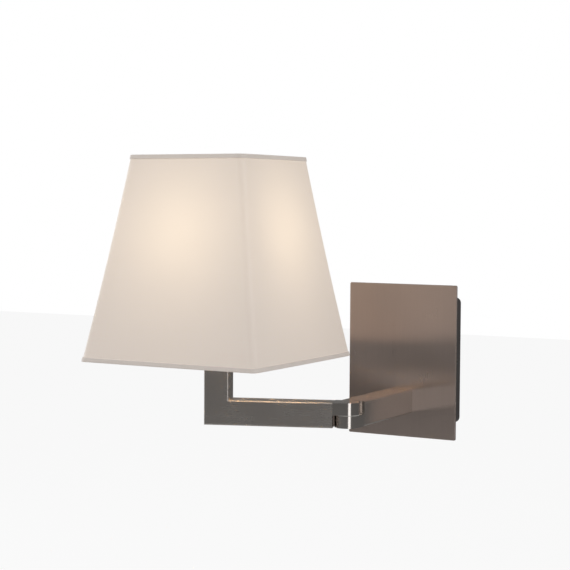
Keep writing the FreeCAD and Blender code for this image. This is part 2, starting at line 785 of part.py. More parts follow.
def bulb():
    """Standard pear bulb: screw cap, glass envelope, glass stem and four light sticks."""
    foot = "(post_top + cup_height + holder_floor + contact_height)"
    cap_top = foot + " + bulb_cap_height"
    cap = turned_body("bulb_cap", [
        ("0", foot), ("bulb_tip_radius", foot),
        ("bulb_tip_radius + bulb_tip_flare", foot + " + bulb_tip_height/2"),
        ("bulb_cap_radius", foot + " + bulb_tip_height"), ("bulb_cap_radius", cap_top), ("0", cap_top)])
    keep(cap, "bulb_cap", POST_PLACE)
    start, radius = value(cap_top), value("bulb_radius")
    centre, sweep = value(foot) + value("bulb_length") - radius, value("bulb_neck_sweep")

    def envelope(inset):
        """Solid pear of the outer shape, drawn in by an inset."""
        round_radius = radius - inset
        neck = value("bulb_neck") - inset
        swing = -math.radians(value("bulb_shoulder_angle"))
        shoulder = Vector(round_radius * math.cos(swing), 0, centre + round_radius * math.sin(swing))
        base, tip = Vector(neck, 0, start), Vector(0, 0, centre + round_radius)
        curve = Part.BezierCurve()
        slope = Vector(-math.sin(swing), 0, math.cos(swing))
        curve.setPoles([base, base + Vector(0, 0, sweep), shoulder - slope * sweep, shoulder])
        dome = Part.Arc(shoulder, Vector(round_radius, 0, centre), tip)
        floor = Vector(0, 0, start)
        edges = [Part.makeLine(floor, base), curve.toShape(), dome.toShape(), Part.makeLine(tip, floor)]
        face = Part.Face(Part.Wire(edges))
        return face.revolve(Vector(), Vector(0, 0, 1), 360)

    keep(coded(envelope(0.0).cut(envelope(value("bulb_wall")))), "bulb_glass", POST_PLACE)
    stem = turned_body("bulb_stem", [
        ("0", cap_top), ("stem_radius*2", cap_top), ("stem_radius", cap_top + " + stem_height/2"),
        ("stem_radius*0.6", cap_top + " + stem_height"), ("0", cap_top + " + stem_height")])
    keep(stem, "bulb_stem", POST_PLACE)
    sticks = []
    for turn in (45, 135, 225, 315):
        lean = Vector(value("filament_ring") * math.cos(math.radians(turn)),
                      value("filament_ring") * math.sin(math.radians(turn)),
                      value(cap_top + " + stem_height - filament_drop"))
        sticks.append(Part.makeCylinder(value("filament_radius"), value("filament_length"), lean))
    keep(coded(Part.makeCompound(sticks)), "bulb_filaments", POST_PLACE)


# ---------------------------------------------------------------- shade


def rounded_square(side, bend, level):
    """A level square wire with round corners about the vertical axis."""
    half = side / 2
    edges = []
    flat = half - bend
    for turn in range(4):
        spin = Rotation(Vector(0, 0, 1), 90 * turn)
        begin, finish = Vector(half, -flat, level), Vector(half, flat, level)
        corner = Vector(flat + bend / math.sqrt(2), flat + bend / math.sqrt(2), level)
        after = Vector(flat, half, level)
        edges.append(Part.makeLine(spin.multVec(begin), spin.multVec(finish)))
        edges.append(Part.Arc(*[spin.multVec(point) for point in (finish, corner, after)]).toShape())
    return Part.Wire(edges)


def shade_side(level):
    """The shade's outer width at a height above its lower rim."""
    share = level / value("shade_height")
    return value("shade_bottom") + share * (value("shade_top") - value("shade_bottom"))


def shade_shell(low, high, outset, thickness):
    """A tapered square shell between two heights, standing out from the shade's outer face."""
    lift, corner = value("shade_lift"), value("shade_corner")

    def solid(offset):
        rings = []
        for level in (low, high):
            side = shade_side(level) + 2 * offset
            rings.append(rounded_square(side, corner + offset, lift + level))
        return Part.makeLoft(rings, True, True)

    return solid(outset).cut(solid(outset - thickness))


def frame_ring(level):
    """Bent wire square that lies just inside the cloth at a height above the lower rim."""
    side = shade_side(level) - 2 * value("wire_inset")
    path = rounded_square(side, value("wire_bend"), value("shade_lift") + level)
    first = path.Edges[0]
    start = first.valueAt((first.FirstParameter + first.LastParameter) / 2)
    straight, upright = path.Edges[0].Length, Vector(0, 0, 1)
    solids = []
    for turn in range(4):
        spin = Rotation(Vector(0, 0, 1), 90 * turn)
        begin = spin.multVec(Vector(start.x, -straight / 2, start.z))
        along = spin.multVec(Vector(0, 1, 0))
        solids.append(Part.makeCylinder(value("wire_radius"), straight, begin, along))
        bend = Part.makeTorus(value("wire_bend"), value("wire_radius"), Vector(), upright, 0, 360, 90)
        bend.rotate(Vector(), upright, 90 * turn)
        bend.translate(spin.multVec(Vector(straight / 2, straight / 2, start.z)))
        solids.append(bend)
    return solids[0].fuse(solids[1:]).removeSplitter()


def strut(begin, finish):
    return Part.makeCylinder(value("wire_radius"), begin.distanceToPoint(finish), begin, finish - begin)


def shade():
    """Cloth, two rims of tape, two wire squares, four corner wires and the spider."""
    height, trim = value("shade_height"), value("trim_height")
    keep(coded(shade_shell(0, height, 0.0, value("shade_cloth"))), "shade_cover", SHADE_PLACE)
    for label, low in (("shade_bottom_trim", 0.0), ("shade_top_trim", height - trim)):
        tape = shade_shell(low, low + trim, value("trim_thick"), value("trim_thick"))
        keep(coded(tape), label, SHADE_PLACE)
    rest = value("wire_radius") + value("wire_gap")
    levels = {"shade_bottom_wire": rest, "shade_top_wire": height - rest}
    rings = {label: frame_ring(level) for label, level in levels.items()}
    for label, ring in rings.items():
        keep(coded(ring), label, SHADE_PLACE)
    ends = []
    for level in levels.values():
        half = shade_side(level) / 2 - value("wire_inset") - value("wire_bend") * (1 - math.sqrt(0.5))
        ends.append(Vector(half, half, value("shade_lift") + level))
    uprights = []
    for turn in range(4):
        spin = Rotation(Vector(0, 0, 1), 90 * turn)
        wire = strut(spin.multVec(ends[0]), spin.multVec(ends[1]))
        uprights.append(wire.cut(list(rings.values())).Solids[0])
    keep(coded(Part.makeCompound(uprights)), "shade_corner_wires", SHADE_PLACE)
    seat = value("ring_place + ring_height + spider_gap/2")
    outer, bore = value("spider_ring_radius"), value("holder_radius + spider_bore_gap")
    hub = Part.makeCylinder(outer, value("spider_thick"), Vector(0, 0, seat))
    middle = seat + value("spider_thick") / 2
    rim = shade_side(levels["shade_bottom_wire"]) / 2 - value("wire_inset")
    spokes, bite = [], value("spoke_bite")
    for turn in range(4):
        spin = Rotation(Vector(0, 0, 1), 90 * turn)
        begin = spin.multVec(Vector(outer + bite, 0, middle))
        finish = spin.multVec(Vector(rim, 0, value("shade_lift") + levels["shade_bottom_wire"]))
        tongue = spin.multVec(Vector(bore + bite, 0, middle))
        spokes.append(strut(begin, finish))
        spokes.append(Part.makeCylinder(value("spider_thick") / 2, (begin - tongue).Length, tongue,
                                        begin - tongue))
    spider = hub.fuse(spokes).cut(Part.makeCylinder(bore, 4 * value("spider_thick"),
                                                    Vector(0, 0, seat - value("spider_thick"))))
    spider = spider.cut([rings["shade_bottom_wire"]])
    keep(coded(max(spider.Solids, key=lambda solid: solid.Volume)), "shade_spider", SHADE_PLACE)


# ---------------------------------------------------------------- leads


def rounded_run(points, radii):
    """Straight runs through points, joined by tangent arcs."""
    edges, begin = [], points[0]
    for index in range(1, len(points) - 1):
        corner = points[index]
        back = (points[index - 1] - corner).normalize()
        ahead = (points[index + 1] - corner).normalize()
        half_turn = (math.pi - back.getAngle(ahead)) / 2
        setback = radii[index - 1] * math.tan(half_turn)
        enter, leave = corner + back * setback, corner + ahead * setback
        centre_way = (back + ahead).normalize()
        middle = corner + centre_way * (radii[index - 1] / math.cos(half_turn) - radii[index - 1])
        edges.append(Part.makeLine(begin, enter))
        edges.append(Part.Arc(enter, middle, leave).toShape())
        begin = leave
    edges.append(Part.makeLine(begin, points[-1]))
    return Part.Wire(edges)


def lead_pair(points, radii):
    """Two insulated cores that mirror each other across the arm's middle plane."""
    cores = []
    for side in (-1, 1):
        route = [Vector(side * point.x, point.y, point.z) for point in points]
        path = rounded_run(route, radii)
        profile = Part.Wire(Part.makeCircle(value("lead_radius"), route[0], route[1] - route[0]))
        core = path.makePipeShell([profile], True, True)
        expected = math.pi * value("lead_radius") ** 2 * path.Length
        if abs(core.Volume - expected) > 0.02 * expected:
            raise RuntimeError("a lead's volume is not its section times its length")
        cores.append(core)
    return coded(Part.makeCompound(cores))


def leads():
    """Leads from the terminal block to the pivot, and from the pivot to the lampholder."""
    level, apart = value("lead_level"), value("lead_pitch") / 2
    plug, bend = value("tube_end") + value("knuckle_plug"), value("pivot_bend")
    side = value("pivot_depth - bracket_thick - block_depth/2")
    foot = value("arm_drop + block_rise - block_height/2")
    spread, top = value("block_pitch"), value("post_top + cup_height - lead_stub")
    low, high = plug + value("lead_rise_start"), plug + value("lead_rise_end")
    gather, turn = value("lead_gather"), value("block_bend")
    tube, post = value("tube_bend"), value("post_bend")
    rear = [Vector(spread, side, foot), Vector(spread, side, foot - value("lead_straight")),
            Vector(apart, side, foot - gather), Vector(apart, side, 0), Vector(apart, high, 0),
            Vector(apart, low, -level), Vector(apart, 0, -level), Vector(apart, 0, 0)]
    keep(lead_pair(rear, [turn, turn, post, tube, tube, bend]), "rear_leads", REAR_PLACE)
    reach = value("front_reach")
    front = [Vector(apart, 0, 0), Vector(apart, 0, level), Vector(apart, low, level),
             Vector(apart, high, 0), Vector(apart, reach, 0), Vector(apart, reach, top)]
    keep(lead_pair(front, [bend, tube, tube, post]), "front_leads", FRONT_PLACE)


# ---------------------------------------------------------------- build and write

wall_bracket()
cable_grommet()
wall_box()
front_plate()
plate_fixings()
side_screws()
wiring()
arm_fixing()
rear_arm()
elbow()
front_arm()
post_end()
lampholder()
bulb()
shade()
leads()
doc.recompute()

failed = [item.Label for item in doc.Objects if "Invalid" in item.State or "Error" in item.State]
failed += [item.Label for item in SUBPARTS if item.Shape.isNull() or not item.Shape.isValid()]
if failed:
    raise RuntimeError("failed: " + ", ".join(failed))
for item in SUBPARTS:
    item.Shape.exportStep("parts/%s.step" % item.Label)
print("wrote %d sub-parts" % len(SUBPARTS))
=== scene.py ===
"""A wall lamp with an arm that swings at its elbow and a square tapered cloth shade.

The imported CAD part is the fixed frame. This script gives its pieces their finishes, makes the cloth, the
hems, the threads and the grips finer than the frame has them, and sets the studio round the lamp.
"""

import logging
import math
from dataclasses import dataclass, field
from enum import Enum

import bpy
from mathutils import Euler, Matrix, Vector


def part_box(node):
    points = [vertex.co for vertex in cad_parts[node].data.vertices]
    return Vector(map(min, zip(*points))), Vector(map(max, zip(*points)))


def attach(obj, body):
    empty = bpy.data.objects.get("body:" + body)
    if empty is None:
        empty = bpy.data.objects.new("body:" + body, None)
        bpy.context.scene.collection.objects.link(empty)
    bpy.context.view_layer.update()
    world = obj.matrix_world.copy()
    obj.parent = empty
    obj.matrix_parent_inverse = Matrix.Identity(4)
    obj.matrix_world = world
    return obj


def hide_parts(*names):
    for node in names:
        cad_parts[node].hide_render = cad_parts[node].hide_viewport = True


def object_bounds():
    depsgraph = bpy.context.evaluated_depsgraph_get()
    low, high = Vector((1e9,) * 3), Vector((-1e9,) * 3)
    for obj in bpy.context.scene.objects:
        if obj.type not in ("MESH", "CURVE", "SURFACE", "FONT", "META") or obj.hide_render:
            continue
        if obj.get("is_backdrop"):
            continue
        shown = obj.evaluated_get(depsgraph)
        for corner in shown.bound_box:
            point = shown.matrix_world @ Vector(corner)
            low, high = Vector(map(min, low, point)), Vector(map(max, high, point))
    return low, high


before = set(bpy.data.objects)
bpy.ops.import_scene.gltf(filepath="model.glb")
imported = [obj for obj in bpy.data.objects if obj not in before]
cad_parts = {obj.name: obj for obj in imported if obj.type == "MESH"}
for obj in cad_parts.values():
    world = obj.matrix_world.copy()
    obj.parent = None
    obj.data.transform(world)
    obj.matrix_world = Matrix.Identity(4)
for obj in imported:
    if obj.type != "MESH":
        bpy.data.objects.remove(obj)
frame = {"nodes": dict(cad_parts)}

MM = 0.001
Colour = tuple[float, float, float]
Point = tuple[float, float, float]
BRASS: Colour = (0.72, 0.53, 0.25)
ZINC: Colour = (0.60, 0.62, 0.66)

log = logging.getLogger("wall_lamp")


# ---------------------------------------------------------------- node trees


class Graph:
    """A shader or geometry node tree, with short calls that add and join its nodes."""

    def __init__(self, tree: bpy.types.NodeTree) -> None:
        """Keeps the tree.

        Args:
            tree: the node tree to fill.
        """
        self.tree = tree

    def add(self, kind: str, inputs: dict | None = None, **settings: object) -> bpy.types.Node:
        """Adds one node, sets its properties, and fills or joins its sockets.

        Args:
            kind: the node's type name.
            inputs: socket name or index to a value, or to the output socket that feeds it.
            settings: properties of the node itself.

        Returns:
            The new node.
        """
        node = self.tree.nodes.new(kind)
        for name, value in settings.items():
            setattr(node, name, value)
        for key, value in (inputs or {}).items():
            if isinstance(value, bpy.types.NodeSocket):
                self.tree.links.new(value, node.inputs[key])
            else:
                node.inputs[key].default_value = value
        return node

    def math(self, operation: str, *values: object, clamp: bool = False) -> bpy.types.NodeSocket:
        """Adds a math node, of the shader or geometry kind alike, and returns its output."""
        node = self.add("ShaderNodeMath", dict(enumerate(values)), operation=operation, use_clamp=clamp)
        return node.outputs[0]

    def vector(self, operation: str, *values: object) -> bpy.types.Node:
        """Adds a vector math node and returns the node, because its outputs differ."""
        return self.add("ShaderNodeVectorMath", dict(enumerate(values)), operation=operation)

    def scaled(self, vector: object, factor: object) -> bpy.types.NodeSocket:
        """Multiplies a vector by one number and returns the result."""
        node = self.add("ShaderNodeVectorMath", {0: vector, "Scale": factor}, operation="SCALE")
        return node.outputs[0]

    def between(self, value: object, low: float, high: float) -> bpy.types.NodeSocket:
        """Spreads a value from 0..1 over low..high and returns the result."""
        node = self.add("ShaderNodeMapRange", {"Value": value, "To Min": low, "To Max": high})
        return node.outputs[0]

    def mixed(self, factor: object, first: object, second: object) -> bpy.types.NodeSocket:
        """Mixes two colours and returns the result."""
        node = self.add("ShaderNodeMix", data_type="RGBA")
        for index, value in ((0, factor), (6, first), (7, second)):
            if isinstance(value, bpy.types.NodeSocket):
                self.tree.links.new(value, node.inputs[index])
            else:
                node.inputs[index].default_value = (*value, 1.0) if index else value
        return node.outputs[2]

    def effect(self, group: bpy.types.NodeTree, **inputs: object) -> bpy.types.NodeOutputs:
        """Adds a shared node group, fills or joins its inputs by name, and returns its outputs."""
        return self.add("ShaderNodeGroup", inputs, node_tree=group).outputs

    def finish(self, shape: bpy.types.NodeSocket, material: object, out: bpy.types.Node) -> None:
        """Realizes and smooths a shape, gives it its material and sends it out of a geometry tree.

        Args:
            shape: the geometry.
            material: the socket that holds the material.
            out: the tree's output node.
        """
        real = self.add("GeometryNodeRealizeInstances", {"Geometry": shape})
        smooth = self.add("GeometryNodeSetShadeSmooth", {"Geometry": real.outputs[0]})
        dressed = self.add("GeometryNodeSetMaterial", {"Geometry": smooth.outputs[0], "Material": material})
        self.tree.links.new(dressed.outputs[0], out.inputs["Geometry"])


def new_group(name: str, kind: str, inputs: dict[str, tuple[str, object]], outputs: dict[str, str]) -> tuple:
    """Makes an empty node group with named sockets.

    Args:
        name: the group's name.
        kind: ShaderNodeTree or GeometryNodeTree.
        inputs: socket name to its type's short name and its default value.
        outputs: socket name to its type's short name.

    Returns:
        The graph, the group's input node and the group's output node.
    """
    tree = bpy.data.node_groups.new(name, kind)
    for label, (short, value) in inputs.items():
        socket = tree.interface.new_socket(label, in_out="INPUT", socket_type="NodeSocket" + short)
        if value is not None:
            socket.default_value = value
    for label, short in outputs.items():
        tree.interface.new_socket(label, in_out="OUTPUT", socket_type="NodeSocket" + short)
    graph = Graph(tree)
    return graph, graph.add("NodeGroupInput"), graph.add("NodeGroupOutput")


class Effects:
    """The shader effects that several finishes share, each a node group that is built once."""

    def __init__(self) -> None:
        """Builds all the groups."""
        self.grain = self._grain()
        self.wear = self._wear()
        self.mottle = self._mottle()
        self.weave = self._weave()
        self.glow = self._glow()

    @staticmethod
    def _grain() -> bpy.types.NodeTree:
        """Brushing: fine and broad streaks that run along the vector's squeezed axis."""
        graph, given, out = new_group(
            "brushed_grain", "ShaderNodeTree",
            {"Vector": ("Vector", None), "Lines": ("Float", 2500.0), "Broad": ("Float", 0.35)},
            {"Streaks": "Float", "Height": "Float"})
        fine = graph.add("ShaderNodeTexNoise", {"Vector": given.outputs["Vector"],
                         "Scale": given.outputs["Lines"], "Detail": 3.0, "Roughness": 0.65})
        slow = graph.math("MULTIPLY", given.outputs["Lines"], 0.14)
        wide = graph.add("ShaderNodeTexNoise", {"Vector": given.outputs["Vector"], "Scale": slow,
                         "Detail": 2.0})
        part = graph.math("MULTIPLY", wide.outputs["Fac"], given.outputs["Broad"])
        rest = graph.math("SUBTRACT", 1.0, given.outputs["Broad"])
        streaks = graph.math("ADD", graph.math("MULTIPLY", fine.outputs["Fac"], rest), part)
        graph.tree.links.new(streaks, out.inputs["Streaks"])
        graph.tree.links.new(fine.outputs["Fac"], out.inputs["Height"])
        return graph.tree

    @staticmethod
    def _wear() -> bpy.types.NodeTree:
        """Edge wear: a mask that is 1 where the surface turns sharply and 0 where it is flat."""
        graph, given, out = new_group(
            "edge_wear", "ShaderNodeTree",
            {"Radius": ("Float", 0.0006), "Gain": ("Float", 4.0)}, {"Mask": "Float"})
        soft = graph.add("ShaderNodeBevel", {"Radius": given.outputs["Radius"]}, samples=4)
        true = graph.add("ShaderNodeNewGeometry")
        near = graph.vector("DOT_PRODUCT", soft.outputs["Normal"], true.outputs["Normal"])
        turned = graph.math("SUBTRACT", 1.0, near.outputs["Value"])
        mask = graph.math("MULTIPLY", turned, given.outputs["Gain"], clamp=True)
        graph.tree.links.new(mask, out.inputs["Mask"])
        return graph.tree

    @staticmethod
    def _mottle() -> bpy.types.NodeTree:
        """Soft uneven patches, as handling and plating leave them."""
        graph, given, out = new_group(
            "soft_mottle", "ShaderNodeTree",
            {"Vector": ("Vector", None), "Patches": ("Float", 30.0), "Low": ("Float", 0.0),
             "High": ("Float", 1.0)},
            {"Value": "Float"})
        noise = graph.add("ShaderNodeTexNoise", {"Vector": given.outputs["Vector"],
                          "Scale": given.outputs["Patches"], "Detail": 4.0, "Distortion": 0.4})
        spread = graph.add("ShaderNodeMapRange", {
            "Value": noise.outputs["Fac"], "From Min": 0.3, "From Max": 0.7,
            "To Min": given.outputs["Low"], "To Max": given.outputs["High"]})
        graph.tree.links.new(spread.outputs[0], out.inputs["Value"])
        return graph.tree

    @staticmethod
    def _weave() -> bpy.types.NodeTree:
        """Plain weave: threads that pass over and under each other, with uneven thick and thin yarn."""
        graph, given, out = new_group(
            "plain_weave", "ShaderNodeTree",
            {"Vector": ("Vector", None), "Threads": ("Float", 1600.0), "Slub": ("Float", 0.5)},
            {"Height": "Float", "Yarn": "Float"})
        count = graph.math("MULTIPLY", given.outputs["Threads"], math.pi)
        part = graph.add("ShaderNodeSeparateXYZ", {0: graph.scaled(given.outputs["Vector"], count)})
        across = graph.math("SINE", part.outputs["X"])
        along = graph.math("SINE", part.outputs["Y"])
        over = graph.between(graph.math("MULTIPLY", across, along), 0.5, 1.0)
        warp = graph.math("ABSOLUTE", across)
        weft = graph.math("ABSOLUTE", along)
        crossing = graph.add("ShaderNodeMix", {0: over, 2: warp, 3: weft}, data_type="FLOAT")
        close, loose = 900.0, 18.0
        thick_v = graph.vector("MULTIPLY", given.outputs["Vector"], (close, loose, 1.0))
        thick_h = graph.vector("MULTIPLY", given.outputs["Vector"], (loose, close, 1.0))
        upright = graph.add("ShaderNodeTexNoise", {"Vector": thick_v.outputs[0], "Scale": 1.0, "Detail": 2.0})
        level = graph.add("ShaderNodeTexNoise", {"Vector": thick_h.outputs[0], "Scale": 1.0, "Detail": 2.0})
        yarn = graph.math("MULTIPLY", graph.math("ADD", upright.outputs["Fac"], level.outputs["Fac"]), 0.5)
        slub = graph.math("MULTIPLY", yarn, given.outputs["Slub"])
        height = graph.math("ADD", crossing.outputs[0], slub)
        graph.tree.links.new(height, out.inputs["Height"])
        graph.tree.links.new(yarn, out.inputs["Yarn"])
        return graph.tree

    @staticmethod
    def _glow() -> bpy.types.NodeTree:
        """Painted lamplight: 1 at the given distance from the glow's middle, less with a power of the
        distance.
        """
        graph, given, out = new_group(
            "lamplight", "ShaderNodeTree",
            {"Vector": ("Vector", None), "Bulb": ("Vector", None), "Near": ("Float", 0.08),
             "Fall": ("Float", 2.5)},
            {"Light": "Float"})
        away = graph.vector("DISTANCE", given.outputs["Vector"], given.outputs["Bulb"])
        ratio = graph.math("DIVIDE", given.outputs["Near"], away.outputs["Value"])
        light = graph.math("POWER", ratio, given.outputs["Fall"])
        graph.tree.links.new(light, out.inputs["Light"])
        return graph.tree


# ---------------------------------------------------------------- finishes


class Brushing(Enum):
    """Which way a metal piece was brushed."""

    UPRIGHT = "upright"
    OUTWARD = "outward"
    ALONG_ARM = "along_arm"
    ROUND = "round"
    NONE = "none"


def new_material(name: str) -> tuple[Graph, bpy.types.Node, bpy.types.Material]:
    """Makes an empty material.

    Args:
        name: the material's name.

    Returns:
        Its graph, its Principled node and the material.
    """
    material = bpy.data.materials.new(name)
    material.use_nodes = True
    material.node_tree.nodes.clear()
    graph = Graph(material.node_tree)
    shader = graph.add("ShaderNodeBsdfPrincipled")
    graph.add("ShaderNodeOutputMaterial", {"Surface": shader.outputs["BSDF"]})
    return graph, shader, material


def shaded(colour: Colour, factor: float) -> Colour:
    """Returns a colour made lighter or darker by a factor, and no lighter than 1."""
    return tuple(min(1.0, factor * c) for c in colour)


@dataclass(frozen=True)
class Metal:
    """A brushed, plated or turned metal."""

    name: str
    colour: Colour
    roughness: float
    brushing: Brushing = Brushing.NONE
    lines: float = 2500.0
    depth: float = 0.25
    stretch: float = 0.02
    anisotropic: float = 0.0
    yaw: float = 0.0
    wear: float = 0.25
    bared: float = 1.35
    groove: float = 0.04 * MM

    def material(self, effects: Effects) -> bpy.types.Material:
        """Builds the finish.

        Args:
            effects: the shared node groups.

        Returns:
            The material.
        """
        graph, shader, material = new_material(self.name)
        place = graph.add("ShaderNodeTexCoord").outputs["Object"]
        squeeze = {
            Brushing.UPRIGHT: (1.0, 1.0, self.stretch),
            Brushing.OUTWARD: (1.0, self.stretch, 1.0),
            Brushing.ALONG_ARM: (self.stretch, 1.0, 1.0),
            Brushing.ROUND: (self.stretch, self.stretch, 1.0),
            Brushing.NONE: (1.0, 1.0, 1.0),
        }[self.brushing]
        turned = graph.add("ShaderNodeMapping", {"Vector": place, "Rotation": Euler((0, 0, -self.yaw))})
        drawn = graph.add("ShaderNodeMapping", {"Vector": turned.outputs[0], "Scale": squeeze})
        grain = graph.effect(effects.grain, Vector=drawn.outputs[0], Lines=self.lines)
        patches = graph.effect(effects.mottle, Vector=place)["Value"]
        edge = graph.effect(effects.wear)["Mask"]
        toned = graph.mixed(grain["Streaks"], shaded(self.colour, 0.92), shaded(self.colour, 1.08))
        worn = graph.math("MULTIPLY", edge, self.wear)
        coloured = graph.mixed(worn, toned, shaded(self.colour, self.bared))
        graph.tree.links.new(coloured, shader.inputs["Base Color"])
        streaked = graph.between(grain["Streaks"], 0.82 * self.roughness, 1.18 * self.roughness)
        uneven = graph.math("MULTIPLY", streaked, graph.between(patches, 0.92, 1.08))
        graph.tree.links.new(uneven, shader.inputs["Roughness"])
        bump = graph.add("ShaderNodeBump", {"Height": grain["Height"], "Strength": self.depth,
                         "Distance": self.groove})
        graph.tree.links.new(bump.outputs["Normal"], shader.inputs["Normal"])
        shader.inputs["Metallic"].default_value = 1.0
        if self.anisotropic:
            shader.inputs["Anisotropic"].default_value = self.anisotropic
            tangent = graph.add("ShaderNodeTangent", direction_type="RADIAL", axis="Z")
            graph.tree.links.new(tangent.outputs[0], shader.inputs["Tangent"])
        return material


@dataclass(frozen=True)
class Moulded:
    """Moulded plastic, rubber or powder coat: fine orange peel and slightly uneven gloss."""

    name: str
    colour: Colour
    roughness: float
    peel: float = 900.0
    dimple: float = 0.1 * MM
    patches: float = 60.0
    depth: float = 0.15
    coat: float = 0.0
    glow: Colour | None = None
    glow_strength: float = 0.0

    def material(self, effects: Effects) -> bpy.types.Material:
        """Builds the finish.

        Args:
            effects: the shared node groups.

        Returns:
            The material.
        """
        graph, shader, material = new_material(self.name)
        place = graph.add("ShaderNodeTexCoord").outputs["Object"]
        patches = graph.effect(effects.mottle, Vector=place, Patches=self.patches)["Value"]
        toned = graph.mixed(patches, shaded(self.colour, 0.93), self.colour)
        graph.tree.links.new(toned, shader.inputs["Base Color"])
        gloss = graph.between(patches, 0.9 * self.roughness, 1.1 * self.roughness)
        graph.tree.links.new(gloss, shader.inputs["Roughness"])
        skin = graph.add("ShaderNodeTexNoise", {"Vector": place, "Scale": self.peel, "Detail": 2.0})
        bump = graph.add("ShaderNodeBump", {"Height": skin.outputs["Fac"], "Strength": self.depth,
                         "Distance": self.dimple})
        graph.tree.links.new(bump.outputs["Normal"], shader.inputs["Normal"])
        shader.inputs["Coat Weight"].default_value = self.coat
        if self.glow:
            shader.inputs["Emission Color"].default_value = (*self.glow, 1.0)
            shader.inputs["Emission Strength"].default_value = self.glow_strength
        return material


@dataclass(frozen=True)
class ClearGlass:
    """Clear blown glass that lets the lamp's own light through to the shade."""

    name: str
    tint: Colour
    roughness: float = 0.02

    def material(self, effects: Effects) -> bpy.types.Material:
        """Builds the finish.

        Args:
            effects: the shared node groups.

        Returns:
            The material.
        """
        graph, shader, material = new_material(self.name)
        place = graph.add("ShaderNodeTexCoord").outputs["Object"]
        patches = graph.effect(effects.mottle, Vector=place)["Value"]
        film = graph.between(patches, self.roughness, 3.0 * self.roughness)
        graph.tree.links.new(film, shader.inputs["Roughness"])
        shader.inputs["Base Color"].default_value = (*self.tint, 1.0)
        shader.inputs["Transmission Weight"].default_value = 1.0
        shader.inputs["IOR"].default_value = 1.45
        path = graph.add("ShaderNodeLightPath")
        through = graph.add("ShaderNodeBsdfTransparent")
        mix = graph.add("ShaderNodeMixShader", {0: path.outputs["Is Shadow Ray"], 1: shader.outputs["BSDF"],
                        2: through.outputs[0]})
        output = next(n for n in graph.tree.nodes if n.type == "OUTPUT_MATERIAL")
        graph.tree.links.new(mix.outputs[0], output.inputs["Surface"])
        return material


@dataclass(frozen=True)
class LitCloth:
    """Shade cloth over a backing, with the bulb's light through it painted into its emission as a glow."""

    name: str
    colour: Colour
    bulb: Point
    near: float
    even_glow: Colour
    warm_glow: Colour
    threads: float = 1500.0
    depth: float = 0.35
    relief: float = 0.12 * MM
    slub: float = 0.8
    patches: float = 22.0
    sheen: float = 0.15

    def material(self, effects: Effects) -> bpy.types.Material:
        """Builds the finish.

        Args:
            effects: the shared node groups.

        Returns:
            The material.
        """
        graph, shader, material = new_material(self.name)
        coordinates = graph.add("ShaderNodeTexCoord")
        place = coordinates.outputs["Object"]
        weave = graph.effect(effects.weave, Vector=coordinates.outputs["UV"], Threads=self.threads,
                             Slub=self.slub)
        lit = graph.effect(effects.glow, Vector=place, Bulb=self.bulb, Near=self.near)["Light"]
        patches = graph.effect(effects.mottle, Vector=place, Patches=self.patches)["Value"]
        thin = graph.between(weave["Yarn"], 0.95, 1.06)
        cloudy = graph.math("MULTIPLY", thin, graph.between(patches, 0.985, 1.015))
        # Painted glow: the bulb's light through the cloth is painted into the emission colour, a warm part
        # that fades away from the glow's middle over an even part.
        warm_glow = graph.scaled(self.warm_glow, lit)
        total = graph.vector("ADD", warm_glow, self.even_glow)
        passed = graph.scaled(total.outputs[0], cloudy)
        graph.tree.links.new(passed, shader.inputs["Emission Color"])
        shader.inputs["Emission Strength"].default_value = 1.0
        toned = graph.mixed(weave["Yarn"], shaded(self.colour, 0.93), self.colour)
        graph.tree.links.new(toned, shader.inputs["Base Color"])
        shader.inputs["Roughness"].default_value = 0.85
        shader.inputs["Specular IOR Level"].default_value = 0.25
        shader.inputs["Sheen Weight"].default_value = self.sheen
        bump = graph.add("ShaderNodeBump", {"Height": weave["Height"], "Strength": self.depth,
                         "Distance": self.relief})
        graph.tree.links.new(bump.outputs["Normal"], shader.inputs["Normal"])
        return material


# ---------------------------------------------------------------- geometry trees


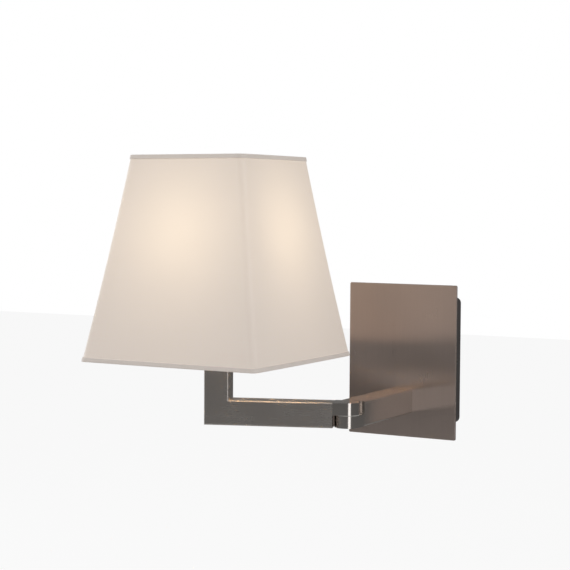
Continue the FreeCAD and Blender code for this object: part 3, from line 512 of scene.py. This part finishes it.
def tapered_cloth_tree() -> bpy.types.NodeTree:
    """Builds the tree for cloth stretched between a large and a small rounded square.

    Returns:
        A geometry node group. Its mesh is a grid, wrapped round the shade's axis, with its UV in metres.
    """
    graph, given, out = new_group(
        "tapered_cloth", "GeometryNodeTree",
        {"Axis": ("Vector", None), "Bottom Half": ("Float", 0.099), "Top Half": ("Float", 0.064),
         "Height": ("Float", 0.204), "Bottom Corner": ("Float", 0.009), "Top Corner": ("Float", 0.006),
         "From": ("Float", 0.0), "To": ("Float", 1.0), "Start": ("Float", 0.25), "Span": ("Float", 1.0),
         "Lift": ("Float", 0.0), "Pull": ("Float", 0.0008), "Bow": ("Float", 0.0008),
         "Ripple": ("Float", 0.0002),
         "Columns": ("Int", 480), "Rows": ("Int", 60), "Material": ("Material", None)},
        {"Geometry": "Geometry"})
    take = given.outputs

    def outline(half: str, corner: str) -> bpy.types.NodeSocket:
        """Returns the rounded square of that half width and corner radius."""
        side = graph.math("MULTIPLY", take[half], 2.0)
        square = graph.add("GeometryNodeCurvePrimitiveQuadrilateral", {"Width": side, "Height": side})
        fillet = graph.add("GeometryNodeFilletCurve", {"Curve": square.outputs[0], "Radius": take[corner],
                           "Count": 10}, mode="POLY")
        return fillet.outputs[0]

    grid = graph.add("GeometryNodeMeshGrid", {"Size X": 1.0, "Size Y": 1.0, "Vertices X": take["Columns"],
                     "Vertices Y": take["Rows"]})
    spot = graph.add("ShaderNodeSeparateXYZ", {0: graph.add("GeometryNodeInputPosition").outputs[0]})
    across = graph.math("ADD", spot.outputs["X"], 0.5)
    upward = graph.math("ADD", spot.outputs["Y"], 0.5)
    span = graph.math("SUBTRACT", take["To"], take["From"])
    rise = graph.math("MULTIPLY_ADD", upward, span, take["From"])
    turn = graph.math("MULTIPLY_ADD", across, take["Span"], take["Start"])
    girth = graph.math("MULTIPLY", take["Bottom Half"], 8.0)
    cloth = graph.add("ShaderNodeCombineXYZ", {"X": graph.math("MULTIPLY", turn, girth),
                      "Y": graph.math("MULTIPLY", rise, take["Height"])})
    marked = graph.add("GeometryNodeStoreNamedAttribute", {"Geometry": grid.outputs["Mesh"], "Name": "UVMap",
                       "Value": cloth.outputs[0]}, data_type="FLOAT2", domain="CORNER")
    place = graph.math("FRACT", turn)
    low = graph.add("GeometryNodeSampleCurve", {"Curves": outline("Bottom Half", "Bottom Corner"),
                    "Factor": place}, mode="FACTOR", use_all_curves=True)
    high = graph.add("GeometryNodeSampleCurve", {"Curves": outline("Top Half", "Top Corner"),
                     "Factor": place}, mode="FACTOR", use_all_curves=True)
    ruled = graph.add("ShaderNodeMix", {0: rise, 4: low.outputs["Position"], 5: high.outputs["Position"]},
                      data_type="VECTOR")
    half = graph.add("ShaderNodeMix", {0: rise, 2: take["Bottom Half"], 3: take["Top Half"]},
                     data_type="FLOAT")
    arch = graph.math("MULTIPLY", graph.math("MULTIPLY", rise, graph.math("SUBTRACT", 1.0, rise)), 4.0)
    side = graph.math("FRACT", graph.math("MULTIPLY", turn, 4.0))
    crown = graph.math("MULTIPLY", graph.math("MULTIPLY", side, graph.math("SUBTRACT", 1.0, side)), 4.0)
    low_down = graph.math("POWER", graph.math("SUBTRACT", 1.0, rise), 2.0)
    bowed = graph.math("MULTIPLY", graph.math("MULTIPLY", crown, low_down), take["Bow"])
    pulled = graph.math("MULTIPLY", arch, take["Pull"])
    noise = graph.add("ShaderNodeTexNoise", {"Vector": ruled.outputs[1], "Scale": 28.0, "Detail": 1.0})
    uneven = graph.math("MULTIPLY", graph.math("SUBTRACT", noise.outputs["Fac"], 0.5), take["Ripple"])
    rippled = graph.math("MULTIPLY", uneven, arch)
    outward = graph.math("ADD", graph.math("SUBTRACT", bowed, pulled),
                         graph.math("ADD", take["Lift"], rippled))
    spread = graph.math("ADD", graph.math("DIVIDE", outward, half.outputs[0]), 1.0)
    wide = graph.scaled(ruled.outputs[1], spread)
    lifted = graph.add("ShaderNodeCombineXYZ", {"Z": graph.math("MULTIPLY", rise, take["Height"])})
    standing = graph.vector("ADD", wide, lifted.outputs[0])
    moved = graph.vector("ADD", standing.outputs[0], take["Axis"])
    shaped = graph.add("GeometryNodeSetPosition", {"Geometry": marked.outputs[0],
                       "Position": moved.outputs[0]})
    closed = graph.add("GeometryNodeMergeByDistance", {"Geometry": shaped.outputs[0], "Distance": 0.02 * MM})
    graph.finish(closed.outputs[0], take["Material"], out)
    return graph.tree


def thread_tree() -> bpy.types.NodeTree:
    """Builds the tree for the ridge of a screw thread, wound upwards round an upright cylinder.

    Returns:
        A geometry node group.
    """
    graph, given, out = new_group(
        "thread_ridge", "GeometryNodeTree",
        {"Foot": ("Vector", None), "Radius": ("Float", 0.019), "Ridge": ("Float", 0.0006),
         "Height": ("Float", 0.02), "Turns": ("Float", 8.0), "Material": ("Material", None)},
        {"Geometry": "Geometry"})
    take = given.outputs
    line = graph.add("GeometryNodeCurveSpiral", {"Resolution": 56, "Rotations": take["Turns"],
                     "Start Radius": take["Radius"], "End Radius": take["Radius"], "Height": take["Height"]})
    ridge = graph.add("GeometryNodeCurvePrimitiveCircle", {"Resolution": 6, "Radius": take["Ridge"]})
    body = graph.add("GeometryNodeCurveToMesh", {"Curve": line.outputs[0], "Profile Curve": ridge.outputs[0],
                     "Fill Caps": True})
    moved = graph.add("GeometryNodeTransform", {"Geometry": body.outputs[0], "Translation": take["Foot"]})
    graph.finish(moved.outputs[0], take["Material"], out)
    return graph.tree


def grip_tree() -> bpy.types.NodeTree:
    """Builds the tree for upright grip ribs set round a ring's rim.

    Returns:
        A geometry node group.
    """
    graph, given, out = new_group(
        "grip_ribs", "GeometryNodeTree",
        {"Foot": ("Vector", None), "Radius": ("Float", 0.025), "Ribs": ("Int", 40), "Rib": ("Float", 0.0008),
         "Height": ("Float", 0.0034), "Material": ("Material", None)},
        {"Geometry": "Geometry"})
    take = given.outputs
    ring = graph.add("GeometryNodeMeshCircle", {"Vertices": take["Ribs"], "Radius": take["Radius"]})
    rib = graph.add("GeometryNodeMeshCylinder", {"Vertices": 10, "Side Segments": 1, "Radius": take["Rib"],
                    "Depth": take["Height"]})
    grips = graph.add("GeometryNodeInstanceOnPoints", {"Points": ring.outputs[0],
                      "Instance": rib.outputs["Mesh"]})
    moved = graph.add("GeometryNodeTransform", {"Geometry": grips.outputs[0], "Translation": take["Foot"]})
    graph.finish(moved.outputs[0], take["Material"], out)
    return graph.tree


def grow(name: str, tree: bpy.types.NodeTree, values: dict[str, object]) -> bpy.types.Object:
    """Runs a geometry tree once and keeps its result as a plain mesh.

    Args:
        name: the new piece's name.
        tree: the geometry node group.
        values: the group's inputs, by name.

    Returns:
        The piece, at the origin.
    """
    seed = bpy.data.objects.new(name + "_seed", bpy.data.meshes.new(name + "_seed"))
    bpy.context.scene.collection.objects.link(seed)
    modifier = seed.modifiers.new("grow", "NODES")
    modifier.node_group = tree
    sockets = {s.name: s.identifier for s in tree.interface.items_tree if s.in_out == "INPUT"}
    for key, value in values.items():
        modifier[sockets[key]] = value
    depsgraph = bpy.context.evaluated_depsgraph_get()
    mesh = bpy.data.meshes.new_from_object(seed.evaluated_get(depsgraph), depsgraph=depsgraph)
    mesh.name = name
    seed.modifiers.remove(modifier)
    bpy.data.objects.remove(seed)
    piece = bpy.data.objects.new(name, mesh)
    bpy.context.scene.collection.objects.link(piece)
    log.info("%s: %d faces", name, len(mesh.polygons))
    return piece


# ---------------------------------------------------------------- the lamp


@dataclass
class Assembly:
    """A part of the lamp: the CAD pieces that it dresses and the pieces that it adds."""

    effects: Effects
    nodes: dict = field(default_factory=lambda: frame["nodes"])

    def dress(self, finish: Metal | Moulded | ClearGlass | LitCloth, *names: str) -> bpy.types.Material:
        """Gives CAD pieces one finish.

        Args:
            finish: the finish.
            names: the CAD pieces' names.

        Returns:
            The finish's material.
        """
        material = finish.material(self.effects)
        for name in names:
            slots = self.nodes[name].data.materials
            slots.clear()
            slots.append(material)
            log.info("%s: %s", name, finish.name)
        return material


@dataclass
class WallSide(Assembly):
    """What stands on the wall: bracket, box, front plate and the wiring between them."""

    plate: Colour = (0.55, 0.455, 0.41)

    def build(self) -> None:
        """Dresses the plate, the box and the pieces in it."""
        self.dress(Metal("plate_nickel", self.plate, 0.3, Brushing.UPRIGHT, lines=2400.0, depth=0.05,
                         anisotropic=1.0), "front_plate")
        # The wall box's nickel is painted far darker than the plate's, as painted shade on the box that sits
        # back under the plate.
        self.dress(Metal("box_nickel", (0.24, 0.225, 0.225), 0.34, Brushing.OUTWARD), "wall_box")
        self.dress(Metal("screw_steel", (0.55, 0.54, 0.53), 0.22, wear=0.6), "side_screws")
        self.dress(Metal("bright_zinc", ZINC, 0.38, lines=700.0), "wall_bracket", "plate_studs",
                   "plate_nuts", "arm_washer", "arm_nut")
        self.dress(Metal("turned_brass", BRASS, 0.28, Brushing.ROUND), "arm_nipple", "earth_screw",
                   "terminal_screws")
        self.dress(Moulded("black_rubber", (0.02, 0.02, 0.022), 0.7, depth=0.3), "cable_grommet")
        self.dress(Moulded("terminal_nylon", (0.78, 0.76, 0.70), 0.45), "terminal_block")


@dataclass
class Arms(Assembly):
    """The two square arms, the elbow between them and the leads inside them."""

    nickel: Colour = (0.61, 0.57, 0.54)
    yaw: float = math.radians(20.0)

    def build(self) -> None:
        """Dresses the arms and the elbow's pieces."""
        self.dress(Metal("rear_arm_nickel", self.nickel, 0.2, Brushing.OUTWARD, depth=0.08), "rear_arm")
        self.dress(Metal("front_arm_nickel", self.nickel, 0.26, Brushing.ALONG_ARM, depth=0.12, yaw=self.yaw),
                   "front_arm")
        self.dress(Metal("knuckle_nickel", self.nickel, 0.15, Brushing.ROUND, lines=3000.0, depth=0.1),
                   "rear_knuckle", "front_knuckle")
        self.dress(Metal("cap_nickel", self.nickel, 0.2, depth=0.2), "upper_knuckle_cap", "lower_knuckle_cap")
        self.dress(Metal("elbow_zinc", ZINC, 0.35, lines=700.0), "wave_washer", "pivot_nut", "stop_pin")
        self.dress(Metal("elbow_brass", BRASS, 0.28, Brushing.ROUND), "pivot_screw", "rear_arm_plug",
                   "post_cap")
        self.dress(Moulded("natural_nylon", (0.80, 0.79, 0.74), 0.4), "friction_washer")
        self.dress(Moulded("lead_sleeve", (0.82, 0.81, 0.78), 0.35), "rear_leads", "front_leads")


@dataclass
class Holder(Assembly):
    """The lampholder with its two shade rings."""

    ridge: float = 0.5 * MM
    pitch: float = 2.4 * MM
    clear: float = 2.5
    rib_share: float = 0.84
    ribs: int = 40
    rib: float = 0.7 * MM
    white: Colour = (0.80, 0.79, 0.75)

    def build(self) -> None:
        """Dresses the holder, and winds its thread and sets the rings' grips."""
        plastic = self.dress(Moulded("holder_white", self.white, 0.38, coat=0.2), "holder_base",
                             "holder_body", "lower_shade_ring", "upper_shade_ring")
        self.dress(Metal("holder_brass", BRASS, 0.26, Brushing.ROUND), "holder_nipple", "centre_contact",
                   "screw_shell")
        self.wind_thread(plastic)
        self.set_grips(plastic)

    def wind_thread(self, plastic: bpy.types.Material) -> None:
        """Winds the holder's outside thread, below and above the shade rings.

        Args:
            plastic: the holder's material.
        """
        low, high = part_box("holder_body")
        ring_low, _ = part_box("lower_shade_ring")
        _, ring_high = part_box("upper_shade_ring")
        radius = (high.x - low.x) / 2
        middle = (low + high) / 2
        tree = thread_tree()
        stretches = {"holder_thread_low": (low.z, ring_low.z), "holder_thread_high": (ring_high.z, high.z)}
        for name, (start, end) in stretches.items():
            length = end - start - 2 * self.clear * self.ridge
            ridge = grow(name, tree, {
                "Foot": (middle.x, middle.y, start + self.clear * self.ridge), "Radius": radius,
                "Ridge": self.ridge, "Height": length, "Turns": length / self.pitch, "Material": plastic})
            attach(ridge, "swing_arm")

    def set_grips(self, plastic: bpy.types.Material) -> None:
        """Sets the upright ribs round each shade ring.

        Args:
            plastic: the rings' material.
        """
        tree = grip_tree()
        for node in ("lower_shade_ring", "upper_shade_ring"):
            low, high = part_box(node)
            middle = (low + high) / 2
            grips = grow(node + "_grips", tree, {
                "Foot": tuple(middle), "Radius": (high.x - low.x) / 2, "Ribs": self.ribs, "Rib": self.rib,
                "Height": self.rib_share * (high.z - low.z), "Material": plastic})
            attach(grips, "shade")


@dataclass
class Bulb(Assembly):
    """The clear bulb with its upright glowing sticks, and the light that it gives."""

    warm_glow: Colour = (1.0, 0.62, 0.30)
    glass: Colour = (1.0, 0.98, 0.95)
    power: float = 0.6
    soft: float = 18.0 * MM

    def centre(self) -> Vector:
        """Returns the middle of the glowing sticks."""
        low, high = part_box("bulb_filaments")
        return (low + high) / 2

    def build(self) -> None:
        """Dresses the bulb and puts a light where its sticks are."""
        self.dress(Metal("cap_aluminium", (0.80, 0.80, 0.82), 0.3, Brushing.ROUND), "bulb_cap")
        self.dress(ClearGlass("bulb_clear", self.glass), "bulb_glass")
        self.dress(ClearGlass("stem_clear", self.glass, 0.05), "bulb_stem")
        self.dress(Moulded("lit_sticks", (1.0, 0.72, 0.35), 0.5, glow=(1.0, 0.72, 0.42), glow_strength=9.0),
                   "bulb_filaments")
        light = bpy.data.lights.new("bulb_light", "POINT")
        light.energy = self.power
        light.color = self.warm_glow
        light.shadow_soft_size = self.soft
        lamp = bpy.data.objects.new("bulb_light", light)
        lamp.location = self.centre()
        bpy.context.scene.collection.objects.link(lamp)


@dataclass
class Shade(Assembly):
    """The square tapered shade: cloth, its lap seam, both hems and the wire frame inside."""

    bulb: Vector = field(default_factory=Vector)
    cloth_thick: float = 0.35 * MM
    hem_tall: float = 4.4 * MM
    hem_thick: float = 1.75 * MM
    hem_lift: float = 0.7 * MM
    edge: float = 0.75 * MM
    bottom_corner: float = 7.5 * MM
    top_corner: float = 6.0 * MM
    seam_wide: float = 7.0 * MM
    seam_lift: float = 0.45 * MM
    seam_place: float = 0.27
    # These four set the painted glow: how far its middle rises above the sticks, how far it reaches, and how
    # much weaker it is painted on the hems.
    glow_rise: float = 16.0 * MM
    glow_reach: float = 0.8
    hem_even_glow: float = 0.72
    hem_warm_glow: float = 0.3
    off_white: Colour = (0.80, 0.79, 0.78)
    # Colours of the painted glow: an even part, and a warm part that fades away from the glow's middle.
    even_glow: Colour = (0.235, 0.178, 0.14)
    warm_glow: Colour = (0.35, 0.275, 0.18)

    def build(self) -> None:
        """Makes the cloth, the seam and the hems, and dresses the wires."""
        self.dress(Moulded("wire_white", (0.80, 0.79, 0.77), 0.35, coat=0.3), "shade_bottom_wire",
                   "shade_top_wire", "shade_corner_wires", "shade_spider")
        low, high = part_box("shade_cover")
        top_low, top_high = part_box("shade_top_trim")
        middle = (low + high) / 2
        self.height = high.z - low.z
        self.size = {"Axis": (middle.x, middle.y, low.z), "Height": self.height,
                     "Bottom Half": (high.x - low.x) / 2,
                     "Top Half": self.top_half(top_low, top_high),
                     "Bottom Corner": self.bottom_corner, "Top Corner": self.top_corner}
        self.tree = tapered_cloth_tree()
        # Painted glow: the bulb's light through the cloth is painted into the emission of the cloth and of
        # the hems; the hems are also painted a little darker, as painted shade of their doubled cloth.
        glow = tuple(self.bulb + Vector((0.0, 0.0, self.glow_rise)))
        near = self.size["Bottom Half"] * self.glow_reach
        self.glowing = LitCloth("shade_cloth", self.off_white, glow, near, self.even_glow,
                                self.warm_glow).material(self.effects)
        self.banded = LitCloth("hem_cloth", shaded(self.off_white, 0.97), glow, near,
                               shaded(self.even_glow, self.hem_even_glow), shaded(self.warm_glow, self.hem_warm_glow),
                               threads=1200.0).material(self.effects)
        hems = [self.hem("shade_hem_bottom", 0.0, "shade_bottom_trim"),
                self.hem("shade_hem_top", 1.0 - self.hem_tall / self.height, "shade_top_trim")]
        seam = self.seam()
        self.cloth([*hems, seam])

    def top_half(self, trim_low: Vector, trim_high: Vector) -> float:
        """Half the cloth's width at its top, worked out from the top trim, which is widest at its lower edge.

        Args:
            trim_low: lowest corner of the CAD trim.
            trim_high: highest corner of the CAD trim.

        Returns:
            Half the cloth's width at the top, in metres.
        """
        low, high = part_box("shade_cover")
        bottom = (high.x - low.x) / 2
        at_trim = (trim_high.x - trim_low.x) / 2 - self.hem_lift
        share = (trim_low.z - low.z) / (high.z - low.z)
        return bottom - (bottom - at_trim) / share

    def thicken(self, piece: bpy.types.Object, thickness: float, rim: float = 0.0) -> None:
        """Gives a sheet its thickness, inwards from the face that shows, and softens a thick one's rims.

        Args:
            piece: the sheet.
            thickness: how thick it gets, in metres.
            rim: the radius of its rounded rims, or 0 for none.
        """
        wall = piece.modifiers.new("thickness", "SOLIDIFY")
        wall.thickness = thickness
        wall.offset = -1.0
        wall.use_even_offset = True
        if rim:
            edge = piece.modifiers.new("rim", "BEVEL")
            edge.width = rim
            edge.segments = 3
            edge.limit_method = "ANGLE"
            edge.angle_limit = math.radians(50.0)

    def hem(self, name: str, start: float, node: str) -> bpy.types.Object:
        """Makes one hem, a band of the shade's own cloth folded over its rim.

        Args:
            name: the piece's name.
            start: how far up the shade the band starts, from 0 to 1.
            node: the CAD trim that it stands for.

        Returns:
            The hem.
        """
        band = grow(name, self.tree, {**self.size, "From": start, "To": start + self.hem_tall / self.height,
                    "Lift": self.hem_lift, "Ripple": 0.0, "Rows": 8, "Material": self.banded})
        self.thicken(band, self.hem_thick, self.edge)
        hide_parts(node)
        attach(band, "shade")
        return band

    def seam(self) -> bpy.types.Object:
        """Makes the lap where the cloth's two ends are glued over each other, at the back.

        Returns:
            The lap.
        """
        girth = 8 * self.size["Bottom Half"]
        inset = self.hem_tall / self.height
        lap = grow("shade_lap_seam", self.tree, {
            **self.size, "From": inset, "To": 1.0 - inset, "Start": self.seam_place,
            "Span": self.seam_wide / girth, "Lift": self.seam_lift, "Columns": 8,
            "Material": self.glowing})
        self.thicken(lap, self.cloth_thick)
        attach(lap, "shade")
        return lap

    def cloth(self, on_it: list[bpy.types.Object]) -> None:
        """Makes the cloth itself.

        Args:
            on_it: the hems and the seam; not used.
        """
        under = 1.5 * self.edge / self.height
        cover = grow("shade_cloth", self.tree, {**self.size, "From": under, "To": 1.0 - under,
                     "Material": self.glowing})
        self.thicken(cover, self.cloth_thick)
        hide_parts("shade_cover")
        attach(cover, "shade")


# ---------------------------------------------------------------- the studio


@dataclass(frozen=True)
class SoftLight:
    """A flat studio light that shines at the lamp."""

    name: str
    azimuth: float
    elevation: float
    distance: float
    width: float
    height: float
    power: float
    colour: Colour = (1.0, 1.0, 1.0)

    def place(self, aim: Vector) -> None:
        """Puts the light in the scene.

        Args:
            aim: the point that it shines at.
        """
        data = bpy.data.lights.new(self.name, "AREA")
        data.shape = "RECTANGLE"
        data.size = self.width
        data.size_y = self.height
        data.energy = self.power
        data.color = self.colour
        light = bpy.data.objects.new(self.name, data)
        away = direction(self.azimuth, self.elevation)
        light.location = aim + away * self.distance
        light.rotation_euler = (-away).to_track_quat("-Z", "Y").to_euler()
        bpy.context.scene.collection.objects.link(light)


def direction(azimuth: float, elevation: float) -> Vector:
    """The direction from the lamp to a point round it.

    Args:
        azimuth: degrees round the lamp, 0 in front of the plate and 90 on its right.
        elevation: degrees above the horizon.

    Returns:
        A unit vector.
    """
    a, e = math.radians(azimuth), math.radians(elevation)
    return Vector((math.sin(a) * math.cos(e), -math.cos(a) * math.cos(e), math.sin(e)))


@dataclass
class Studio:
    """The camera, the soft lights, the pale floor and the plain surroundings."""

    lens: float = 96.8
    azimuth: float = 28.87
    pitch: float = 3.12
    roll: float = 0.36
    distance: float = 1.574
    aim_offset: Point = (2.5 * MM, 2.5 * MM, 17.4 * MM)
    floor_drop: float = 0.26
    floor_half: float = 4.0
    floor_white: float = 0.93
    around: float = 0.17
    front: float = 0.185
    lights: tuple[SoftLight, ...] = (
        SoftLight("key_soft", -62.0, 26.0, 1.6, 0.8, 0.9, 8.2),
        SoftLight("fill_soft", 92.0, 25.0, 1.7, 0.8, 0.9, 3.8),
        SoftLight("top_soft", 20.0, 82.0, 1.6, 1.0, 1.0, 2.4),
        SoftLight("edge_strip", 49.0, 4.0, 1.35, 0.5, 1.2, 3.0),
        SoftLight("rim_strip", -100.0, 5.0, 1.2, 0.7, 1.2, 2.6),
    )

    def build(self) -> None:
        """Makes the camera, the lights, the floor and the surroundings."""
        low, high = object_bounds()
        middle = (low + high) / 2
        self.camera(middle)
        for light in self.lights:
            light.place(middle)
        self.surroundings()
        self.floor(low.z - self.floor_drop)

    def camera(self, middle: Vector) -> None:
        """Puts the camera in front of the lamp, to the right of it and slightly above.

        Args:
            middle: the middle of the lamp's box.
        """
        data = bpy.data.cameras.new("camera")
        data.lens = self.lens
        data.sensor_width = 36.0
        data.clip_start = 0.05
        camera = bpy.data.objects.new("camera", data)
        away = direction(self.azimuth, self.pitch)
        camera.location = middle + Vector(self.aim_offset) + away * self.distance
        level = (-away).to_track_quat("-Z", "Y")
        camera.rotation_mode = "QUATERNION"
        camera.rotation_quaternion = level @ Euler((0.0, 0.0, math.radians(self.roll))).to_quaternion()
        bpy.context.scene.collection.objects.link(camera)
        bpy.context.scene.camera = camera

    def surroundings(self) -> None:
        """Shows white to the camera, and gives the lamp a dim room, a little lighter in front of it."""
        world = bpy.data.worlds.new("room")
        world.use_nodes = True
        world.node_tree.nodes.clear()
        graph = Graph(world.node_tree)
        seen = graph.add("ShaderNodeBackground", {"Color": (1.0, 1.0, 1.0, 1.0), "Strength": 1.0})
        ray = graph.add("ShaderNodeTexCoord").outputs["Generated"]
        facing = graph.add("ShaderNodeSeparateXYZ", {0: ray}).outputs["Y"]
        shade = graph.add("ShaderNodeMapRange", {"Value": facing, "From Min": -1.0, "From Max": -0.2,
                          "To Min": self.front, "To Max": self.around})
        room = graph.add("ShaderNodeBackground", {"Color": (1.0, 0.985, 0.965, 1.0),
                         "Strength": shade.outputs[0]})
        path = graph.add("ShaderNodeLightPath")
        mix = graph.add("ShaderNodeMixShader", {0: path.outputs["Is Camera Ray"], 1: room.outputs[0],
                        2: seen.outputs[0]})
        graph.add("ShaderNodeOutputWorld", {"Surface": mix.outputs[0]})
        bpy.context.scene.world = world
        bpy.context.scene.view_settings.view_transform = "Standard"

    def floor(self, level: float) -> None:
        """Lays a pale floor under the lamp.

        Args:
            level: the floor's height.
        """
        mesh = bpy.data.meshes.new("floor")
        half = self.floor_half
        corners = [(-half, -half, level), (half, -half, level), (half, half, level), (-half, half, level)]
        mesh.from_pydata(corners, [], [(0, 1, 2, 3)])
        floor = bpy.data.objects.new("floor", mesh)
        graph, shader, material = new_material("pale_floor")
        shader.inputs["Base Color"].default_value = (0.55, 0.55, 0.55, 1.0)
        shader.inputs["Roughness"].default_value = 0.9
        white = graph.add("ShaderNodeEmission", {"Color": (1.0, 1.0, 1.0, 1.0), "Strength": 1.0})
        path = graph.add("ShaderNodeLightPath")
        share = graph.math("MULTIPLY", path.outputs["Is Camera Ray"], self.floor_white)
        mix = graph.add("ShaderNodeMixShader", {0: share, 1: shader.outputs["BSDF"], 2: white.outputs[0]})
        output = next(n for n in graph.tree.nodes if n.type == "OUTPUT_MATERIAL")
        graph.tree.links.new(mix.outputs[0], output.inputs["Surface"])
        mesh.materials.append(material)
        bpy.context.scene.collection.objects.link(floor)
        floor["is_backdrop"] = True


def main() -> None:
    """Builds the lamp and its studio in order."""
    logging.basicConfig(level=logging.INFO, format="%(name)s %(message)s")
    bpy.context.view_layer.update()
    effects = Effects()
    WallSide(effects).build()
    Arms(effects).build()
    Holder(effects).build()
    bulb = Bulb(effects)
    bulb.build()
    Shade(effects, bulb=bulb.centre()).build()
    Studio().build()


if __name__ == "__main__":
    main()
